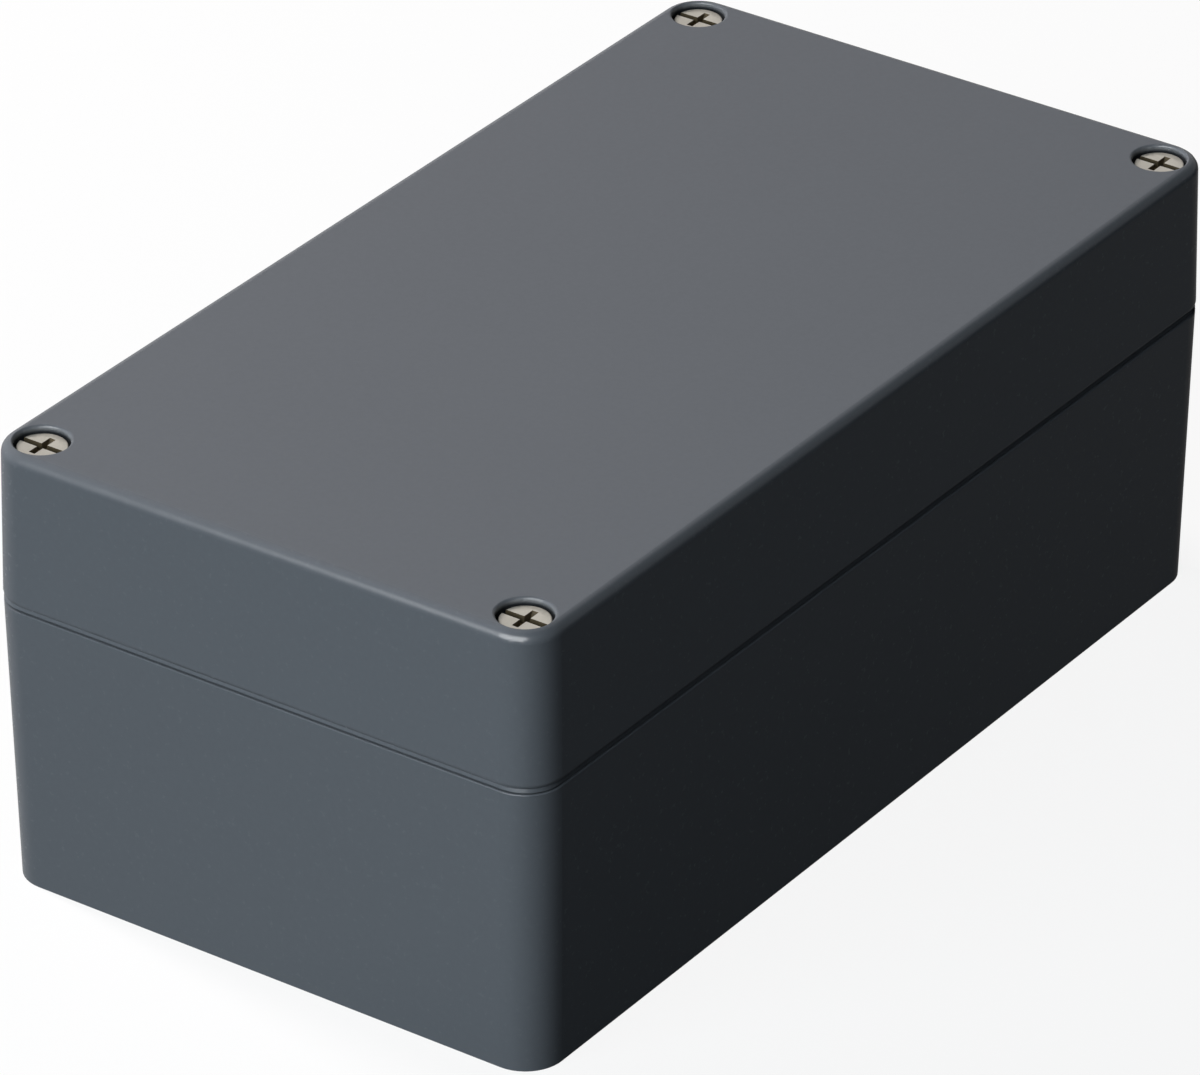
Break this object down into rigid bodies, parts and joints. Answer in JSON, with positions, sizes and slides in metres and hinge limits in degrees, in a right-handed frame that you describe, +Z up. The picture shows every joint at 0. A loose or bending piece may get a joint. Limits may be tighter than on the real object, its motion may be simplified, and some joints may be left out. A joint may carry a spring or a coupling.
{
  "type": "die cast aluminium enclosure",
  "caption": "Rectangular die cast aluminium enclosure, powder coated grey, with a separate screwed lid, seal, captive corner screws, wall fixing holes and an earth terminal.",
  "frame": {"origin": "centre of the underside that the box stands on", "axes": "+X along the length, +Y along the width towards the rear, +Z up through the lid"},
  "size_m": [0.22, 0.12, 0.0892],
  "materials": {
    "powder_coat": "satin",
    "seal_rubber": "matte",
    "screw_steel": "satin",
    "ring_nylon": "matte",
    "plated_steel": "satin"
  },
  "bodies": {
    "base": {"base_casting": "powder_coat", "earth_flat_washer": "plated_steel", "earth_clamp_plate": "plated_steel", "earth_spring_washer": "plated_steel", "earth_screw": "plated_steel"},
    "lid": {"lid_casting": "powder_coat", "lid_gasket": "seal_rubber"},
    "ring_front_left": {"retaining_ring_front_left": "ring_nylon"},
    "screw_front_left": {"lid_screw_front_left": "screw_steel"},
    "ring_front_right": {"retaining_ring_front_right": "ring_nylon"},
    "screw_front_right": {"lid_screw_front_right": "screw_steel"},
    "ring_rear_left": {"retaining_ring_rear_left": "ring_nylon"},
    "screw_rear_left": {"lid_screw_rear_left": "screw_steel"},
    "ring_rear_right": {"retaining_ring_rear_right": "ring_nylon"},
    "screw_rear_right": {"lid_screw_rear_right": "screw_steel"}
  },
  "joints": [
    {"name": "lid_lift", "type": "slide", "parent": "base", "child": "lid", "axis": [0, 0, 1], "range_m": [0, 0.06]},
    {"name": "screw_rise_front_left", "type": "slide", "parent": "lid", "child": "ring_front_left", "axis": [0, 0, 1], "range_m": [0, 0.008]},
    {"name": "screw_turn_front_left", "type": "hinge", "parent": "ring_front_left", "child": "screw_front_left", "pos_m": [-0.1021, -0.0522, 0.0579], "axis": [0, 0, 1], "range_deg": [0, 3601]},
    {"name": "screw_rise_front_right", "type": "slide", "parent": "lid", "child": "ring_front_right", "axis": [0, 0, 1], "range_m": [0, 0.008]},
    {"name": "screw_turn_front_right", "type": "hinge", "parent": "ring_front_right", "child": "screw_front_right", "pos_m": [0.1021, -0.0522, 0.0579], "axis": [0, 0, 1], "range_deg": [0, 3601]},
    {"name": "screw_rise_rear_left", "type": "slide", "parent": "lid", "child": "ring_rear_left", "axis": [0, 0, 1], "range_m": [0, 0.008]},
    {"name": "screw_turn_rear_left", "type": "hinge", "parent": "ring_rear_left", "child": "screw_rear_left", "pos_m": [-0.1021, 0.0522, 0.0579], "axis": [0, 0, 1], "range_deg": [0, 3601]},
    {"name": "screw_rise_rear_right", "type": "slide", "parent": "lid", "child": "ring_rear_right", "axis": [0, 0, 1], "range_m": [0, 0.008]},
    {"name": "screw_turn_rear_right", "type": "hinge", "parent": "ring_rear_right", "child": "screw_rear_right", "pos_m": [0.1021, 0.0522, 0.0579], "axis": [0, 0, 1], "range_deg": [0, 3601]}
  ],
  "couplings": [
    {"joint": "screw_turn_front_left", "follows": "screw_rise_front_left", "rad_per_m": 7854},
    {"joint": "screw_turn_front_right", "follows": "screw_rise_front_right", "rad_per_m": 7854},
    {"joint": "screw_turn_rear_left", "follows": "screw_rise_rear_left", "rad_per_m": 7854},
    {"joint": "screw_turn_rear_right", "follows": "screw_rise_rear_right", "rad_per_m": 7854}
  ]
}
